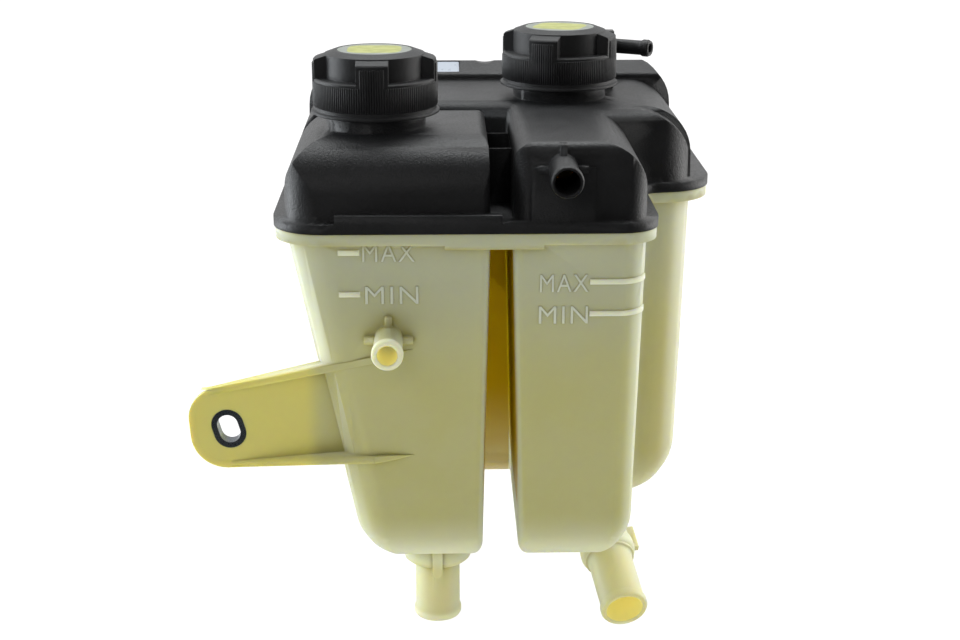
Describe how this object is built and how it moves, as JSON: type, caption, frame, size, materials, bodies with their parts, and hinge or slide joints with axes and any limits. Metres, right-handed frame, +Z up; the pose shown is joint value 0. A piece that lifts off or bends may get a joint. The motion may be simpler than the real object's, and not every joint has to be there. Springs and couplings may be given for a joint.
{
  "type": "coolant expansion tank",
  "caption": "Two-chamber coolant expansion tank with a black top shell, translucent lower shell, two screw caps with relief valves, hose nipples and a slotted side bracket.",
  "frame": {"origin": "centre of the slotted steel bush at the end of the side bracket, on the bush's rear seat", "axes": "+Z up, +X from the bracket towards the right-hand chamber, +Y away from the side with the level marks"},
  "size_m": [0.2848, 0.259, 0.3156],
  "materials": {
    "black_shell": "black moulded polypropylene, satin",
    "natural_shell": "natural polypropylene, translucent, slightly yellowed",
    "plated_steel": "zinc plated, dull",
    "label_film": "white label film",
    "cap_plastic": "black glass-filled plastic, satin",
    "cap_label": "plain printed disc, yellow field in a grey ring",
    "plug_plastic": "dark engineering plastic",
    "seal_rubber": "black rubber ring",
    "spring_steel": "drawn spring wire",
    "valve_metal": "pressed stainless steel"
  },
  "bodies": {
    "tank": {"upper_shell": "black_shell", "lower_shell": "natural_shell", "bracket_bush": "plated_steel", "rear_label": "label_film"},
    "left_plug_body": {"left_plug": "plug_plastic", "left_plug_seal": "seal_rubber", "left_spring_seat": "plug_plastic", "left_pressure_spring": "spring_steel"},
    "left_cap_body": {"left_cap": "cap_plastic", "left_cap_label": "cap_label"},
    "left_pressure_valve_body": {"left_pressure_valve": "valve_metal", "left_vacuum_spring": "spring_steel"},
    "left_vacuum_valve_body": {"left_vacuum_valve": "valve_metal"},
    "right_plug_body": {"right_plug": "plug_plastic", "right_plug_seal": "seal_rubber", "right_spring_seat": "plug_plastic", "right_pressure_spring": "spring_steel"},
    "right_cap_body": {"right_cap": "cap_plastic", "right_cap_label": "cap_label"},
    "right_pressure_valve_body": {"right_pressure_valve": "valve_metal", "right_vacuum_spring": "spring_steel"},
    "right_vacuum_valve_body": {"right_vacuum_valve": "valve_metal"}
  },
  "joints": [
    {"name": "left_cap_lift", "type": "slide", "parent": "tank", "child": "left_plug_body", "axis": [0, 0, 1], "range_m": [0, 0.005]},
    {"name": "left_cap_turn", "type": "hinge", "parent": "left_plug_body", "child": "left_cap_body", "pos_m": [0.079, 0.032, 0.1617], "axis": [0, 0, 1], "range_deg": [0, 450]},
    {"name": "left_pressure_relief", "type": "slide", "parent": "left_plug_body", "child": "left_pressure_valve_body", "axis": [0, 0, 1], "range_m": [0, 0.002], "stiffness_N_per_m": 6000, "springref_m": -0.007, "deforming": ["left_pressure_spring"]},
    {"name": "left_vacuum_relief", "type": "slide", "parent": "left_pressure_valve_body", "child": "left_vacuum_valve_body", "axis": [0, 0, -1], "range_m": [0, 0.0015], "stiffness_N_per_m": 300, "springref_m": -0.0015, "deforming": ["left_vacuum_spring"]},
    {"name": "right_cap_lift", "type": "slide", "parent": "tank", "child": "right_plug_body", "axis": [0, 0, 1], "range_m": [0, 0.005]},
    {"name": "right_cap_turn", "type": "hinge", "parent": "right_plug_body", "child": "right_cap_body", "pos_m": [0.181, 0.119, 0.1617], "axis": [0, 0, 1], "range_deg": [0, 450]},
    {"name": "right_pressure_relief", "type": "slide", "parent": "right_plug_body", "child": "right_pressure_valve_body", "axis": [0, 0, 1], "range_m": [0, 0.002], "stiffness_N_per_m": 6000, "springref_m": -0.007, "deforming": ["right_pressure_spring"]},
    {"name": "right_vacuum_relief", "type": "slide", "parent": "right_pressure_valve_body", "child": "right_vacuum_valve_body", "axis": [0, 0, -1], "range_m": [0, 0.0015], "stiffness_N_per_m": 300, "springref_m": -0.0015, "deforming": ["right_vacuum_spring"]}
  ],
  "couplings": [
    {"joint": "left_cap_turn", "follows": "left_cap_lift", "rad_per_m": 1570},
    {"joint": "right_cap_turn", "follows": "right_cap_lift", "rad_per_m": 1570}
  ]
}
